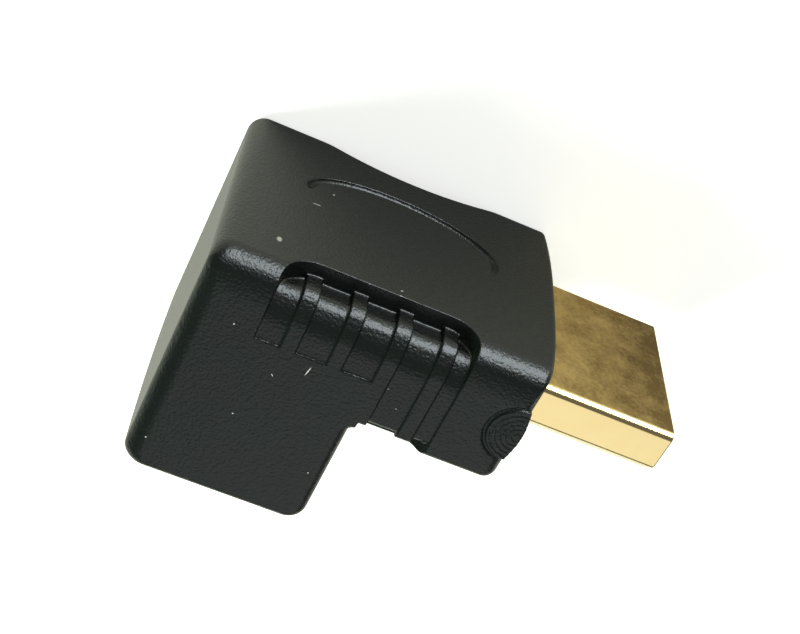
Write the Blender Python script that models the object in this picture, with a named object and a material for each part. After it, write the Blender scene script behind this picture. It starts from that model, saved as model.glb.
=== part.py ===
# Right angle digital video adapter: a plug on one leg, a socket at the end of the other.
# It lies on its side. X runs along the plug, +Y is the back of the adapter,
# the socket's mouth faces -Y, and Z is the width of the body, up from the resting side.
# The sizes are in millimetres and the meshes are written in metres.

import math

import bmesh
import bpy
from mathutils import Vector

MM = 0.001

# Moulded body
BODY_WIDTH = 19.7
PLUG_LEG_LENGTH = 23.2
MOUTH_LEG_LENGTH = 18.46
MOUTH_LEG_THICKNESS = 12.85
COLLAR_THICKNESS = 9.35
COLLAR_LENGTH = 5.15
HEEL_FLARE = 0.3
HEEL_BULGE = 0.15
FRONT_BULGE = 0.6
FRONT_SKEW = 0.18
SIDE_FILLET = 0.75
TOP_FILLET = 2.1
HEEL_FILLET = 1.2
HEEL_RADIUS = 1.3
FRONT_RADIUS = 0.4
MOUTH_CORNER_RADIUS = 1.4
COLLAR_CORNER_RADIUS = 0.85
ELBOW_RADIUS = 0.3
SMALLEST_RADIUS = 0.1

# Ribbed grip
GRIP_START = 4.55
GRIP_DEPTH = 2.84
GRIP_CORNER_START = 2.5
GRIP_CORNER_END = 2.1
WAIST_CENTRE = 12.5
WAIST_DEPTH = 1.5
WAIST_RADIUS = 22.0
RIB_COUNT = 4
RIB_WIDTH = 1.05
FIRST_BAY = 1.75
LAST_BAY = 1.2
RIB_TOP_DROP = 0.95
RIB_SHOULDER_RADIUS = 1.9
BAY_EXTRA_DROP = 0.42
BAY_DEPTH = 0.35
BAY_FOOT_DEPTH = 0.12
BAY_END = 5.1
WALL_STEP = 0.03
RIB_SECTION_THICKNESS = 8.85
RIB_UNDER_RADIUS = 0.75
BAY_UNDER_RADIUS = 0.6
RELIEF_DEPTH = 1.45
RELIEF_CORNER = 2.0
FACE_CLEARANCE = 0.02

# Oval groove on the back
OVAL_CENTRE_X = 12.1
OVAL_CENTRE_ACROSS = 8.2
OVAL_HALF_LENGTH = 7.0
OVAL_HALF_WIDTH = 3.4
OVAL_TILT = math.radians(4.0)
GROOVE_HALF_WIDTH = 0.34
GROOVE_DEPTH = 0.28
GROOVE_FROM = math.radians(-38.0)
GROOVE_TO = math.radians(186.0)
GROOVE_FADE_FRONT = 0.25
GROOVE_FADE_HEEL = 0.06
GROOVE_LIFT = 0.012

# Gate mark on the collar's side
GATE_FROM_FRONT = 0.2
GATE_CENTRE_DOWN = 5.0
GATE_RADIUS = 2.2
GATE_PROUD = 0.06
GATE_SET_IN = 1.1
GATE_BULGE = 0.3
GATE_RING_PITCH = 0.55
GATE_RING_WIDTH = 0.14
GATE_RING_DEPTH = 0.07

# Plug
PLUG_WIDTH = 13.9
PLUG_HEIGHT = 4.45
PLUG_REACH = 9.9
PLUG_CORNER_DROP = 3.05
PLUG_CORNER_INSET = 1.8
PLUG_EMBEDDED = 3.7
PLUG_TIP_CHAMFER = 0.12
PLUG_TIP_RECESS = 0.55
PLUG_BACK_DROP = 2.36
SEAM_WIDTH = 0.12
SEAM_DEPTH = 0.14

# Socket
SOCKET_WIDTH = 14.6
SOCKET_HEIGHT = 5.15
SOCKET_CORNER_DROP = 3.45
SOCKET_CORNER_INSET = 1.8
SOCKET_MOUTH_RECESS = 0.12
SOCKET_LEAD_IN = 0.25
SOCKET_BASE_DEPTH = 4.2
TONGUE_WIDTH = 11.7
TONGUE_THICKNESS = 1.2
TONGUE_RECESS = 1.3
TONGUE_NOSE_LENGTH = 0.35
TONGUE_NOSE_TAPER = 0.21

# Spring fingers of the socket's shell
FINGER_LENGTH = 5.0
FINGER_WIDTH = 2.0
FINGER_THICKNESS = 0.2
FINGER_BOW = 0.28
FINGER_BOW_START = 1.75
FINGER_BOW_END = 1.0
FINGER_SLIT = 0.3
FINGER_FROM_MOUTH = 1.2
FINGER_ROOT = 0.5
WIDE_FINGER_OFFSET = 3.7
NARROW_FINGER_OFFSET = 2.6
END_FINGER_WIDTH = 1.3

# Sheet, contacts and board
SHEET = 0.3
SHELL_CORNER_RADIUS = 0.42
CONTACT_COUNT = 19
CONTACT_PITCH = 1.0
CONTACT_WIDTH = 0.3
CONTACT_THICKNESS = 0.15
CONTACT_SIDE_GAP = 0.05
BOARD_THICKNESS = 1.6
BOARD_WIDTH = 13.8
BOARD_REAR = 2.75
BOARD_CORNER_RADIUS = 0.6
TAIL_LENGTH = 2.2
PIN_ABOVE_BOARD = 0.3
PIN_HOLE_RADIUS = 0.25
SLOT_WIDTH = 12.0
SLOT_DEPTH = 8.4
SLOT_WALL_STEP = 0.05
CONTACT_BUMP = 0.11
CONTACT_LIP = 0.02
CONTACT_BUMP_START = 2.6
CONTACT_BUMP_END = 2.0
CONTACT_LIP_START = 1.2
CONTACT_TIP_RECESS = 0.6
CHANNEL_TIP_RECESS = 0.5
TONGUE_CONTACT_START = 1.0
TONGUE_CONTACT_RECESS = 0.75
CONTACT_CLEARANCE = 0.03
SLOT_CLEARANCE = 0.12
TONGUE_CONTACT_SINK = 0.01

# Inner mould
INNER_REAR = 2.05
INNER_WIDTH = 15.2
INNER_BACK_DROP = 2.3
INNER_THICKNESS = 4.75
INNER_WALL = 0.62
FIT = 0.05

# Places worked out from the sizes above
MID_ACROSS = BODY_WIDTH / 2
PLUG_MID_DOWN = PLUG_BACK_DROP + PLUG_HEIGHT / 2
PLUG_TIP = PLUG_LEG_LENGTH + FRONT_BULGE + PLUG_REACH
PLUG_REAR = PLUG_LEG_LENGTH + FRONT_BULGE - PLUG_EMBEDDED
GRIP_END = PLUG_LEG_LENGTH - COLLAR_LENGTH
GATE_CENTRE_X = PLUG_LEG_LENGTH - GATE_FROM_FRONT
SOCKET_MID_X = (MOUTH_LEG_THICKNESS - HEEL_FLARE) / 2
BOARD_BACK = PLUG_MID_DOWN - BOARD_THICKNESS / 2
BOARD_FACE = PLUG_MID_DOWN + BOARD_THICKNESS / 2
BOARD_FRONT = PLUG_REAR - FIT
SOCKET_TOP = BOARD_FACE + FIT
SOCKET_MOUTH = MOUTH_LEG_LENGTH - SOCKET_MOUTH_RECESS
CONTACT_INNER = BOARD_THICKNESS / 2 + CONTACT_CLEARANCE
CONTACT_CENTRE = CONTACT_INNER + CONTACT_THICKNESS / 2
SLOT_HALF_HEIGHT = CONTACT_INNER + SLOT_CLEARANCE
TONGUE_CONTACT_CENTRE = TONGUE_THICKNESS / 2 - TONGUE_CONTACT_SINK
X_ORIGIN = (PLUG_TIP - HEEL_FLARE - HEEL_BULGE) / 2
Y_ORIGIN = MOUTH_LEG_LENGTH / 2
PAST = 1.0
FAR = 40.0


def clear_scene():
    for item in list(bpy.data.objects):
        bpy.data.objects.remove(item, do_unlink=True)


def finish(name, hex_colour, roughness, metallic):
    material = bpy.data.materials.new(name)
    material.use_nodes = True
    shader = material.node_tree.nodes["Principled BSDF"]
    channels = [int(hex_colour[i:i + 2], 16) / 255 for i in (0, 2, 4)]
    shader.inputs["Base Color"].default_value = (*[c ** 2.2 for c in channels], 1.0)
    shader.inputs["Roughness"].default_value = roughness
    shader.inputs["Metallic"].default_value = metallic
    return material


def place(x, down, across):
    """A point from its distance from the heel, from the back face and from the resting side."""
    return Vector(((x - X_ORIGIN) * MM, (Y_ORIGIN - down) * MM, across * MM))


def corner_arc(before, corner, after, radius, steps):
    """The points that round one corner of an outline."""
    if radius <= 0:
        return [corner]
    here = Vector(corner)
    to_before = (Vector(before) - here).normalized()
    to_after = (Vector(after) - here).normalized()
    half = to_before.angle(to_after) / 2
    start = here + to_before * (radius / math.tan(half))
    centre = here + (to_before + to_after).normalized() * (radius / math.sin(half))
    turn = (start - centre).angle_signed(here + to_after * (radius / math.tan(half)) - centre)
    points = []
    for step in range(steps + 1):
        angle = -turn * step / steps
        arm = start - centre
        points.append((centre.x + arm.x * math.cos(angle) - arm.y * math.sin(angle),
                       centre.y + arm.x * math.sin(angle) + arm.y * math.cos(angle)))
    return points


def rounded(corners, steps=4):
    """An outline from corners given as (a, b, radius)."""
    outline = []
    for index, (a, b, radius) in enumerate(corners):
        before = corners[index - 1][:2]
        after = corners[(index + 1) % len(corners)][:2]
        outline += corner_arc(before, (a, b), after, radius, steps)
    return outline


def solid(name, rings, material=None, closed=False):
    """A body skinned over rings of points: capped at its two ends, or joined end to end."""
    mesh = bpy.data.meshes.new(name)
    body = bmesh.new()
    levels = [[body.verts.new(point) for point in ring] for ring in rings]
    pairs = list(zip(levels, levels[1:]))
    if closed:
        pairs.append((levels[-1], levels[0]))
    for lower, upper in pairs:
        for index in range(len(lower)):
            nxt = (index + 1) % len(lower)
            body.faces.new((lower[index], lower[nxt], upper[nxt], upper[index]))
    if not closed:
        body.faces.new(levels[0][::-1])
        body.faces.new(levels[-1])
    bmesh.ops.recalc_face_normals(body, faces=body.faces)
    body.to_mesh(mesh)
    body.free()
    piece = bpy.data.objects.new(name, mesh)
    bpy.context.collection.objects.link(piece)
    if material:
        mesh.materials.append(material)
    return piece


def prism(name, outline, along, low, high, material=None):
    """An outline pushed along one direction: 'x', 'down' or 'across'."""
    def lift(a, b, level):
        if along == "x":
            return place(level, a, b)
        if along == "down":
            return place(a, level, b)
        return place(a, b, level)

    return solid(name, [[lift(a, b, level) for a, b in outline] for level in (low, high)], material)


def block(name, x_range, down_range, across_range, material=None):
    outline = [(x_range[0], down_range[0]), (x_range[1], down_range[0]),
               (x_range[1], down_range[1]), (x_range[0], down_range[1])]
    return prism(name, outline, "across", across_range[0], across_range[1], material)


def tool(piece):
    piece.hide_render = True
    piece.display_type = "WIRE"
    return piece


def combine(piece, other, operation):
    modifier = piece.modifiers.new(operation.title() + " " + other.name, "BOOLEAN")
    modifier.operation = operation
    modifier.solver = "EXACT"
    modifier.object = tool(other)


def cut(piece, cutter):
    combine(piece, cutter, "DIFFERENCE")


def shade(piece, angle=35.0):
    piece.data.shade_smooth()
    piece.data.set_sharp_from_angle(angle=math.radians(angle))


def drawn_in(fillet, from_side):
    """How far the rounding of an edge draws the outline in, at a distance from the body's side."""
    short = max(fillet - from_side, 0.0)
    return fillet - math.sqrt(fillet ** 2 - short ** 2)


def leg_outline(front, flare, back, heel, rest):
    """The side view of the body, its edges drawn in by back, heel and rest for their rounding."""
    under = COLLAR_THICKNESS - rest
    mouth = MOUTH_LEG_LENGTH - rest
    heel_radius = max(HEEL_RADIUS - (back + heel) / 2, SMALLEST_RADIUS)
    corners = [(heel, back, heel_radius),
               (front - rest, back, max(FRONT_RADIUS - rest, SMALLEST_RADIUS)),
               (front - rest, under, max(COLLAR_CORNER_RADIUS - rest, SMALLEST_RADIUS)),
               (MOUTH_LEG_THICKNESS - rest, under, ELBOW_RADIUS + rest),
               (MOUTH_LEG_THICKNESS - rest, mouth, MOUTH_CORNER_RADIUS - rest),
               (heel - flare, mouth, MOUTH_CORNER_RADIUS - rest)]
    return rounded(corners)


def body_stations():
    """Places across the width, each with how far it draws in the back, the heel and the rest."""
    steps = 6
    stations = []
    for step in range(steps + 1):
        from_side = SIDE_FILLET * (1 - math.sin(math.pi / 2 * (steps - step) / steps))
        inset = drawn_in(SIDE_FILLET, from_side)
        stations.append((from_side, inset, inset, inset))
    for share in (0.2, 0.35, 0.5, 0.65, 0.8):
        stations.append((BODY_WIDTH * share, 0.0, 0.0, 0.0))
    for step in range(steps + 1):
        from_side = TOP_FILLET * (1 - math.sin(math.pi / 2 * step / steps))
        stations.append((BODY_WIDTH - from_side, drawn_in(TOP_FILLET, from_side),
                         drawn_in(HEEL_FILLET, from_side), drawn_in(SIDE_FILLET, from_side)))
    return stations


def moulded_blank(material):
    """The two legs in one, with rounded sides and a front end that bulges across its width."""
    rings = []
    for across, back, heel, rest in body_stations():
        share = (across - MID_ACROSS) / MID_ACROSS
        front_bulge = FRONT_BULGE * (1 - abs(share) ** 3)
        front = PLUG_LEG_LENGTH + front_bulge - FRONT_SKEW * share
        flare = HEEL_FLARE + HEEL_BULGE * (1 - share * share)
        rings.append([place(x, down, across)
                      for x, down in leg_outline(front, flare, back, heel, rest)])
    return solid("overmould", rings, material)


def grip_plan(inset):
    """The upper grip seen from the back: straight walls, a flat floor and round corners."""
    outside = BODY_WIDTH + PAST
    floor = BODY_WIDTH - GRIP_DEPTH + inset
    start = GRIP_START + inset
    end = GRIP_END - inset
    corners = [(start, outside, 0.0), (start, floor, GRIP_CORNER_START - inset),
               (end, floor, GRIP_CORNER_END - inset), (end, outside, 0.0)]
    return rounded(corners, steps=6)


def waist_plan(depth):
    """The grip on the resting side seen from the back: one long shallow arc."""
    steps = 24
    reach = math.acos(1 - (depth + PAST) / WAIST_RADIUS)
    outline = []
    for step in range(steps + 1):
        angle = reach * (2 * step / steps - 1)
        outline.append((WAIST_CENTRE + WAIST_RADIUS * math.sin(angle),
                        depth - WAIST_RADIUS * (1 - math.cos(angle))))
    return outline


def shoulder_section(side, wall, top, face, foot, foot_face, end):
    """A cut seen along X: down the wall, out to the shoulder's arc, and down the sloping face."""
    radius = RIB_SHOULDER_RADIUS
    outside = -PAST
    arc = []
    steps = 6
    for step in range(steps + 1):
        angle = math.pi / 2 * step / steps
        inward = face + radius - radius * math.sin(angle)
        down = top + radius - radius * math.cos(angle)
        if inward < wall:
            arc.append((down, inward))
    points = [(outside, wall), (arc[0][0], wall)] + arc
    if top + radius < foot < end:
        points.append((foot, foot_face))
    points += [(end, foot_face), (end, outside), (outside, outside)]
    if side > 0:
        points = [(down, BODY_WIDTH - inward) for down, inward in points]
    return points


def grip_cutter(name, side, inset, x_range, top, face, foot_face, end):
    """One cut of a grip, kept inside the grip's plan and clear of its wall by inset."""
    depth = (GRIP_DEPTH if side > 0 else WAIST_DEPTH) - inset
    foot = RIB_SECTION_THICKNESS - BAY_EXTRA_DROP - BAY_UNDER_RADIUS
    section = shoulder_section(side, depth, top, face, foot, foot_face, end)
    cutter = prism(name, section, "x", x_range[0], x_range[1])
    outline = grip_plan(inset) if side > 0 else waist_plan(depth)
    combine(cutter, prism(name + " plan", outline, "down", -2 * PAST, FAR + PAST), "INTERSECT")
    return cutter


def rib_edges():
    """Where each rib starts and ends: evenly spread between the first and the last bay."""
    first = GRIP_START + FIRST_BAY
    last = GRIP_END - LAST_BAY - RIB_WIDTH
    pitch = (last - first) / (RIB_COUNT - 1)
    return [(first + pitch * i, first + pitch * i + RIB_WIDTH) for i in range(RIB_COUNT)]


def cut_grip(body):
    """Round the shoulders of both sides, then sink the bays between the ribs."""
    ribs = rib_edges()
    starts = [GRIP_START - PAST] + [end for _, end in ribs]
    ends = [start for start, _ in ribs] + [GRIP_END + PAST]
    wide = (GRIP_START - 4 * PAST, GRIP_END + 4 * PAST)
    shoulder_end = RIB_TOP_DROP + RIB_SHOULDER_RADIUS
    for side in (1, -1):
        label = "upper" if side > 0 else "resting"
        cut(body, grip_cutter("shoulder cut " + label, side, 0.0, wide,
                              RIB_TOP_DROP, -FACE_CLEARANCE, -FACE_CLEARANCE, shoulder_end))
        for index, bay in enumerate(zip(starts, ends)):
            over_leg = bay[0] < MOUTH_LEG_THICKNESS
            end = BAY_END if over_leg else FAR
            cut(body, grip_cutter(f"bay cut {label} {index}", side, WALL_STEP, bay,
                                  RIB_TOP_DROP + BAY_EXTRA_DROP, BAY_DEPTH, BAY_FOOT_DEPTH, end))


def relief_plan(inset):
    """The relief under the ribs seen from below, from the elbow to the collar."""
    start = MOUTH_LEG_THICKNESS + ELBOW_RADIUS + inset
    end = GRIP_END - inset
    wall = RELIEF_DEPTH - inset
    corner = min(RELIEF_CORNER - inset, (end - start) / 2)
    return rounded([(start, -PAST, 0.0), (start, wall, 0.0), (end, wall, corner),
                    (end, -PAST, 0.0)], steps=6)


def relief_cutter(name, side, inset, x_range, face, floor, radius):
    """A cut under the ribs: round the lower edge, along the underside and down the wall."""
    steps = 4
    wall = RELIEF_DEPTH - inset
    section = [(FAR, -PAST), (floor - radius, -PAST)]
    for step in range(steps + 1):
        angle = math.pi / 2 * step / steps
        section.append((floor - radius + radius * math.sin(angle),
                        face + radius - radius * math.cos(angle)))
    section += [(floor, wall + PAST), (FAR, wall + PAST)]
    plan = relief_plan(inset)
    if side > 0:
        section = [(down, BODY_WIDTH - inward) for down, inward in section]
        plan = [(x, BODY_WIDTH - inward) for x, inward in plan]
    cutter = prism(name, section, "x", x_range[0], x_range[1])
    combine(cutter, prism(name + " plan", plan, "down", -2 * PAST, FAR + PAST), "INTERSECT")
    return cutter


def cut_underside(body):
    """The ribs and the bays that clear the mouth leg go on round the lower edge."""
    ribs = rib_edges()
    starts = [end for _, end in ribs]
    ends = [start for start, _ in ribs[1:]] + [GRIP_END + PAST]
    floor = RIB_SECTION_THICKNESS
    for side in (1, -1):
        cut(body, relief_cutter(f"relief {side}", side, 0.0, (GRIP_START, GRIP_END + PAST),
                                -FACE_CLEARANCE, floor, RIB_UNDER_RADIUS))
        for index, (start, end) in enumerate(zip(starts, ends)):
            bay = (start + WALL_STEP, end - WALL_STEP)
            if start > MOUTH_LEG_THICKNESS:
                cut(body, relief_cutter(f"bay relief {side} {index}", side, WALL_STEP, bay,
                                        BAY_FOOT_DEPTH, floor - BAY_EXTRA_DROP,
                                        BAY_UNDER_RADIUS))


def oval_point(angle):
    a = OVAL_HALF_LENGTH * math.cos(angle)
    b = OVAL_HALF_WIDTH * math.sin(angle)
    x = OVAL_CENTRE_X + a * math.cos(OVAL_TILT) + b * math.sin(OVAL_TILT)
    across = OVAL_CENTRE_ACROSS + a * math.sin(OVAL_TILT) - b * math.cos(OVAL_TILT)
    return x, across


def cut_oval_groove(body):
    """A round-bottomed groove along part of an oval, fading out at both its ends."""
    steps = 40
    sides = 8
    radius = (GROOVE_HALF_WIDTH ** 2 + GROOVE_DEPTH ** 2) / (2 * GROOVE_DEPTH)
    rings = []
    for step in range(steps + 1):
        share = step / steps
        angle = GROOVE_FROM + (GROOVE_TO - GROOVE_FROM) * share
        x, across = oval_point(angle)
        ahead_x, ahead_across = oval_point(angle + 0.01)
        heading = Vector((ahead_x - x, ahead_across - across)).normalized()
        fade = min(1.0, share / GROOVE_FADE_FRONT, (1 - share) / GROOVE_FADE_HEEL)
        centre = GROOVE_DEPTH * fade - GROOVE_LIFT - radius
        ring = []
        for side in range(sides):
            turn = 2 * math.pi * (side + 0.5) / sides
            out = radius * math.sin(turn)
            down = centre + radius * math.cos(turn)
            ring.append(place(x - heading.y * out, down, across + heading.x * out))
        rings.append(ring)
    cut(body, solid("oval groove", rings))


def add_gate_mark(body):
    """A round gate mark that stands just proud at the front edge, with ring grooves."""
    steps = 18
    outline = []
    for step in range(steps + 1):
        angle = math.pi / 2 + math.pi * step / steps
        outline.append((GATE_CENTRE_X + GATE_RADIUS * math.cos(angle),
                        GATE_CENTRE_DOWN - GATE_RADIUS * math.sin(angle)))
    for step in range(1, 6):
        share = step / 6
        down = GATE_CENTRE_DOWN + GATE_RADIUS * (1 - 2 * share)
        outline.append((GATE_CENTRE_X + GATE_BULGE * math.sin(math.pi * share), down))
    boss = prism("gate mark", outline, "across", BODY_WIDTH - GATE_SET_IN, BODY_WIDTH + GATE_PROUD)
    combine(body, boss, "UNION")
    ring_radius = GATE_RADIUS - GATE_RING_PITCH
    while ring_radius > GATE_RING_PITCH:
        cut(body, gate_ring(ring_radius))
        ring_radius -= GATE_RING_PITCH


def gate_ring(radius):
    """A half ring with a square section, for one of the gate mark's grooves."""
    steps = 14
    low = BODY_WIDTH + GATE_PROUD - GATE_RING_DEPTH
    rings = []
    for step in range(steps + 1):
        angle = math.radians(80) + math.radians(200) * step / steps
        ring = []
        for arm, level in ((radius, low), (radius + GATE_RING_WIDTH, low),
                           (radius + GATE_RING_WIDTH, low + PAST), (radius, low + PAST)):
            ring.append(place(GATE_CENTRE_X + arm * math.cos(angle),
                              GATE_CENTRE_DOWN - arm * math.sin(angle), level))
        rings.append(ring)
    return solid(f"gate ring {radius:.2f}", rings)


def plug_outline(grow, radius=SHELL_CORNER_RADIUS):
    """The plug's section as (down, across), drawn out by grow."""
    return shell_outline(PLUG_WIDTH, PLUG_HEIGHT, PLUG_CORNER_DROP, PLUG_CORNER_INSET,
                         PLUG_BACK_DROP, MID_ACROSS, grow, radius)


def socket_outline(grow, radius=SHELL_CORNER_RADIUS):
    """The socket's section as (x, across), drawn out by grow."""
    return shell_outline(SOCKET_WIDTH, SOCKET_HEIGHT, SOCKET_CORNER_DROP, SOCKET_CORNER_INSET,
                         SOCKET_MID_X - SOCKET_HEIGHT / 2, MID_ACROSS, grow, radius)


def shell_outline(width, height, corner_drop, corner_inset, first, middle, grow, radius):
    """Five flats and a taper at each lower corner: the shape that fits only one way round."""
    slant = math.atan2(corner_inset, height - corner_drop)
    half = width / 2 + grow
    top = first - grow
    bottom = first + height + grow
    narrow = width / 2 - corner_inset + grow * math.tan(math.pi / 4 - slant / 2)
    drop = first + corner_drop + grow * math.tan(slant / 2)
    soft = max(radius + grow, SMALLEST_RADIUS)
    corners = [(top, middle - half, soft), (top, middle + half, soft),
               (drop, middle + half, soft), (bottom, middle + narrow, soft),
               (bottom, middle - narrow, soft), (drop, middle - half, soft)]
    return rounded(corners, steps=3)


def make_overmould():
    body = moulded_blank(finish("black PVC", "2a2d2c", 0.5, 0.0))
    cut_grip(body)
    cut_underside(body)
    cut_oval_groove(body)
    add_gate_mark(body)
    inner = inner_box(FIT)
    cut(body, block("inner mould space", *inner))
    cut(body, prism("plug bore", plug_outline(FIT), "x", inner[0][1] - PAST, FAR))
    cut(body, prism("socket bore", socket_outline(FIT), "down", inner[1][1] - PAST, FAR))
    lead_in = [(MOUTH_LEG_LENGTH - SOCKET_LEAD_IN, FIT / 2),
               (MOUTH_LEG_LENGTH + SOCKET_LEAD_IN, FIT / 2 + 2 * SOCKET_LEAD_IN)]
    rings = [[place(x, down, across) for x, across in socket_outline(grow)]
             for down, grow in lead_in]
    cut(body, solid("socket lead-in", rings))
    shade(body)


def inner_box(grow):
    """The inner mould's ranges along x, down and across."""
    x_range = (INNER_REAR - grow, PLUG_REAR - FIT + grow)
    down_range = (INNER_BACK_DROP - grow, INNER_BACK_DROP + INNER_THICKNESS + grow)
    half = INNER_WIDTH / 2 + grow
    return x_range, down_range, (MID_ACROSS - half, MID_ACROSS + half)


def make_inner_mould():
    x_range, down_range, across_range = inner_box(0.0)
    body = block("inner_mould", x_range, down_range, across_range,
                 finish("natural polyethylene", "d9d6c8", 0.55, 0.0))
    half = BOARD_WIDTH / 2 + FIT
    cut(body, block("board space", (BOARD_REAR - FIT, FAR),
                    (down_range[0] + INNER_WALL, down_range[1] - INNER_WALL),
                    (MID_ACROSS - half, MID_ACROSS + half)))
    cut(body, prism("socket opening", socket_outline(FIT), "down", BOARD_FACE, FAR))


def tube(name, outline_at, levels, along, material):
    """A folded sheet tube: rings outside from one end to the other, then back inside."""
    rings = []
    for level, grow in levels:
        ring = []
        for a, b in outline_at(grow):
            ring.append(place(level, a, b) if along == "x" else place(a, level, b))
        rings.append(ring)
    return solid(name, rings, material, closed=True)


def make_plug_shell():
    chamfer = PLUG_TIP_CHAMFER
    levels = [(PLUG_REAR, 0.0), (PLUG_TIP - chamfer, 0.0), (PLUG_TIP, -chamfer),
              (PLUG_TIP, -SHEET), (PLUG_REAR, -SHEET)]
    shell = tube("plug_shell", plug_outline, levels, "x",
                 finish("gold plated steel", "d8b068", 0.28, 1.0))
    underside = PLUG_BACK_DROP + PLUG_HEIGHT
    cut(shell, block("plug seam", (PLUG_REAR - PAST, PLUG_TIP + PAST),
                     (underside - SEAM_DEPTH, underside + PAST),
                     (MID_ACROSS - SEAM_WIDTH / 2, MID_ACROSS + SEAM_WIDTH / 2)))
    shade(shell)


def make_socket_shell():
    chamfer = PLUG_TIP_CHAMFER
    levels = [(SOCKET_TOP, 0.0), (SOCKET_MOUTH, 0.0), (SOCKET_MOUTH, -SHEET + chamfer),
              (SOCKET_MOUTH - chamfer, -SHEET), (SOCKET_TOP, -SHEET)]
    shell = tube("socket_shell", socket_outline, levels, "down",
                 finish("gold plated shell", "cfa862", 0.3, 1.0))
    first = SOCKET_MID_X - SOCKET_HEIGHT / 2
    flat_middle = first + SOCKET_CORNER_DROP / 2
    for sign in (-1, 1):
        wide = MID_ACROSS + sign * WIDE_FINGER_OFFSET
        narrow = MID_ACROSS + sign * NARROW_FINGER_OFFSET
        end = MID_ACROSS + sign * SOCKET_WIDTH / 2
        add_finger(shell, f"wide finger {sign}", wide, FINGER_WIDTH,
                   lambda down, inward, along: place(first + inward, down, along))
        add_finger(shell, f"narrow finger {sign}", narrow, FINGER_WIDTH,
                   lambda down, inward, along: place(first + SOCKET_HEIGHT - inward, down, along))
        add_finger(shell, f"end finger {sign}", flat_middle, END_FINGER_WIDTH,
                   lambda down, inward, along: place(along, down, end - sign * inward))
    shade(shell)


def add_finger(shell, name, middle, width, lay):
    """A spring finger in a window of the sheet, bowed inwards, with its root at the back."""
    tip = SOCKET_MOUTH - FINGER_FROM_MOUTH
    root = tip - FINGER_LENGTH
    half = width / 2 + FINGER_SLIT
    rings = []
    for inward in (-SHEET, 2 * SHEET):
        rings.append([lay(down, inward, along) for down, along in
                      ((root, middle - half), (tip + FINGER_SLIT, middle - half),
                       (tip + FINGER_SLIT, middle + half), (root, middle + half))])
    cut(shell, solid(name + " window", rings))
    flat = SHEET / 2
    line = [(root - FINGER_ROOT, flat), (root + FINGER_ROOT, flat),
            (tip - FINGER_BOW_START, flat + FINGER_BOW),
            (tip - FINGER_BOW_END, flat + FINGER_BOW), (tip, flat)]
    combine(shell, strip(name, line, middle, width, FINGER_THICKNESS, lay), "UNION")


def contact_places():
    """Each contact's row and its place across: ten on the wide side, nine between them."""
    places = []
    for index in range(CONTACT_COUNT):
        row = -1 if index % 2 == 0 else 1
        offset = (index - (CONTACT_COUNT - 1) / 2) * CONTACT_PITCH / 2
        places.append((row, MID_ACROSS + offset))
    return places


def channel_range(across):
    half = CONTACT_WIDTH / 2 + CONTACT_SIDE_GAP
    return across - half, across + half


def channels(name, box_for):
    """All the contact channels of one insulator as one cutter of separate boxes."""
    parts = [block(f"{name} {i}", *box_for(row, across))
             for i, (row, across) in enumerate(contact_places())]
    joined = bmesh.new()
    for part in parts:
        joined.from_mesh(part.data)
        bpy.data.objects.remove(part, do_unlink=True)
    mesh = bpy.data.meshes.new(name)
    joined.to_mesh(mesh)
    joined.free()
    cutter = bpy.data.objects.new(name, mesh)
    bpy.context.collection.objects.link(cutter)
    return cutter


def make_plug_insulator():
    front = PLUG_TIP - PLUG_TIP_RECESS
    body = prism("plug_insulator", plug_outline(-SHEET - FIT), "x", PLUG_REAR + FIT, front,
                 finish("black nylon", "1b1b1c", 0.45, 0.0))
    slot_half = SLOT_WIDTH / 2
    cut(body, block("plug slot", (front - SLOT_DEPTH, FAR),
                    (PLUG_MID_DOWN - SLOT_HALF_HEIGHT, PLUG_MID_DOWN + SLOT_HALF_HEIGHT),
                    (MID_ACROSS - slot_half, MID_ACROSS + slot_half)))

    def channel(row, across):
        inner = CONTACT_INNER - SLOT_WALL_STEP
        outer = CONTACT_INNER + CONTACT_THICKNESS + SLOT_WALL_STEP
        levels = sorted((PLUG_MID_DOWN + row * inner, PLUG_MID_DOWN + row * outer))
        return (PLUG_REAR - PAST, front - CHANNEL_TIP_RECESS), levels, channel_range(across)

    cut(body, channels("plug channels", channel))


def make_socket_insulator():
    material = finish("black liquid crystal polymer", "18191a", 0.4, 0.0)
    base_end = SOCKET_TOP + SOCKET_BASE_DEPTH
    body = prism("socket_insulator", socket_outline(-SHEET - FIT), "down",
                 SOCKET_TOP, base_end, material)
    half = TONGUE_WIDTH / 2
    tongue_end = SOCKET_MOUTH - TONGUE_RECESS
    nose = tongue_end - TONGUE_NOSE_LENGTH
    back = SOCKET_MID_X - TONGUE_THICKNESS / 2
    front = SOCKET_MID_X + TONGUE_THICKNESS / 2
    section = [(back, base_end - PAST), (back, nose), (back + TONGUE_NOSE_TAPER, tongue_end),
               (front - TONGUE_NOSE_TAPER, tongue_end), (front, nose), (front, base_end - PAST)]
    combine(body, prism("tongue", section, "across", MID_ACROSS - half, MID_ACROSS + half),
            "UNION")

    def channel(row, across):
        inner = TONGUE_CONTACT_CENTRE - CONTACT_THICKNESS / 2 - SLOT_WALL_STEP
        outer = TONGUE_CONTACT_CENTRE + CONTACT_THICKNESS / 2 + SLOT_WALL_STEP
        levels = sorted((SOCKET_MID_X + row * inner, SOCKET_MID_X + row * outer))
        return levels, (SOCKET_TOP - PAST, tongue_end - 2 * TONGUE_NOSE_LENGTH), channel_range(across)

    cut(body, channels("socket channels", channel))


def strip(name, centre_line, middle, width, thickness, lay, material=None):
    """A thin strip of metal: a bent centre line given a thickness and a width."""
    upper = [(a, b - thickness / 2) for a, b in centre_line]
    lower = [(a, b + thickness / 2) for a, b in reversed(centre_line)]
    edges = (middle - width / 2, middle + width / 2)
    rings = [[lay(a, b, edge) for a, b in upper + lower] for edge in edges]
    return solid(name, rings, material)


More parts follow.
